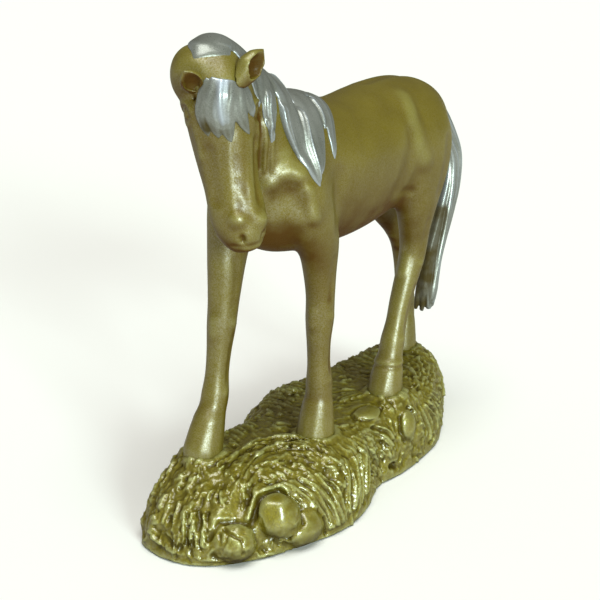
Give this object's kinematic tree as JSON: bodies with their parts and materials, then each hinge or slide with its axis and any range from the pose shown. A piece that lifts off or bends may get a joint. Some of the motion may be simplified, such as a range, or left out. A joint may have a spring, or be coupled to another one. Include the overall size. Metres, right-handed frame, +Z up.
{
  "type": "horse statue",
  "caption": "Painted cast-resin statue of a walking horse with its head turned to the left, silver mane and tail, on a rocky ground base with a felt underside; a shelf ornament.",
  "frame": {"origin": "centre of the base's outline, on the floor at the felt's underside", "axes": "+Z up, -Y the way the horse walks, +X the horse's left side"},
  "size_m": [0.077, 0.201, 0.1869],
  "materials": {
    "gold_resin": "olive-gold metallic paint on cast resin, satin",
    "silver_resin": "silver metallic paint on cast resin, satin",
    "steel": "drawn wire and rod, bare",
    "felt": "pressed felt, dark green"
  },
  "bodies": {
    "root": {"base": "gold_resin", "felt_pad": "felt", "torso": "gold_resin", "head_and_neck": "gold_resin", "left_ear": "gold_resin", "right_ear": "gold_resin", "forelock": "silver_resin", "mane": "silver_resin", "tail": "silver_resin", "left_foreleg": "gold_resin", "right_foreleg": "gold_resin", "left_hind_leg": "gold_resin", "right_hind_leg": "gold_resin", "left_foreleg_wire": "steel", "right_foreleg_wire": "steel", "left_hind_leg_wire": "steel", "right_hind_leg_wire": "steel", "neck_dowel": "steel", "tail_pin": "steel"}
  },
  "joints": []
}
